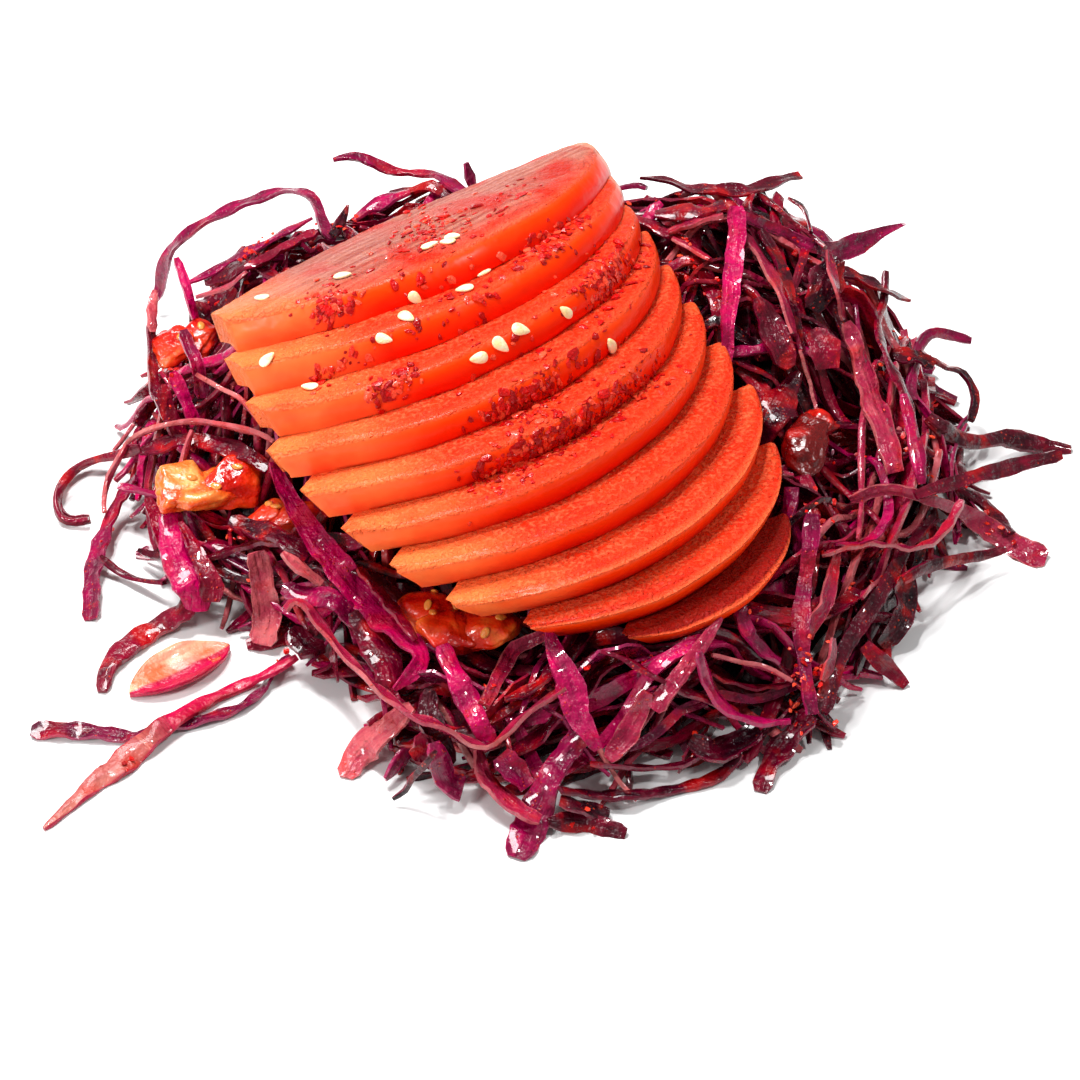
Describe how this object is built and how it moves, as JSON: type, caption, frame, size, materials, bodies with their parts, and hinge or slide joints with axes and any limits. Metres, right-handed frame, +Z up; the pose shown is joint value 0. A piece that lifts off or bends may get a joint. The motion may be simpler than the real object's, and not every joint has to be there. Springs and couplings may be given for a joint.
{
  "type": "spicy red cabbage salad with sliced tomato",
  "caption": "Loose heap of dressed, shredded red cabbage topped with a fan of overlapping tomato slices, sesame seeds and red chili flakes.",
  "frame": {"origin": "point of the heap's flat underside that lies under the middle of the tomato fan", "axes": "+X along the heap's longest side, to the right; -Y towards the front, where the fan ends; +Z up"},
  "size_m": [0.1711, 0.1421, 0.0524],
  "materials": {
    "red_cabbage": "wet, oily dressed leaf",
    "pale_cabbage": "wet inner leaf and rib",
    "tomato_slice": "glossy skin with moist cut faces",
    "tomato_pulp": "wet chopped flesh",
    "sesame_seed": "smooth hulled seed",
    "chili_flake": "oily crushed flakes"
  },
  "bodies": {
    "root": {"cabbage_heap": "red_cabbage", "cabbage_leaf_pale": "pale_cabbage", "cabbage_shred_01": "red_cabbage", "cabbage_shred_02": "red_cabbage", "cabbage_shred_03": "red_cabbage", "cabbage_shred_04": "red_cabbage", "cabbage_shred_05": "red_cabbage", "cabbage_shred_06": "red_cabbage", "cabbage_shred_07": "red_cabbage", "cabbage_shred_08": "red_cabbage", "cabbage_shred_09": "red_cabbage", "cabbage_shred_10": "red_cabbage", "cabbage_shred_11": "red_cabbage", "cabbage_shred_12": "red_cabbage", "tomato_chunk_back_left": "tomato_pulp", "tomato_chunk_front": "tomato_pulp", "tomato_chunk_left": "tomato_pulp", "tomato_chunk_near_left": "tomato_pulp", "tomato_chunk_right": "tomato_pulp", "tomato_slice_01": "tomato_slice", "tomato_slice_02": "tomato_slice", "tomato_slice_03": "tomato_slice", "tomato_slice_04": "tomato_slice", "tomato_slice_05": "tomato_slice", "tomato_slice_06": "tomato_slice", "tomato_slice_07": "tomato_slice", "tomato_slice_08": "tomato_slice", "tomato_slice_09": "tomato_slice", "tomato_slice_10": "tomato_slice"}
  },
  "joints": []
}
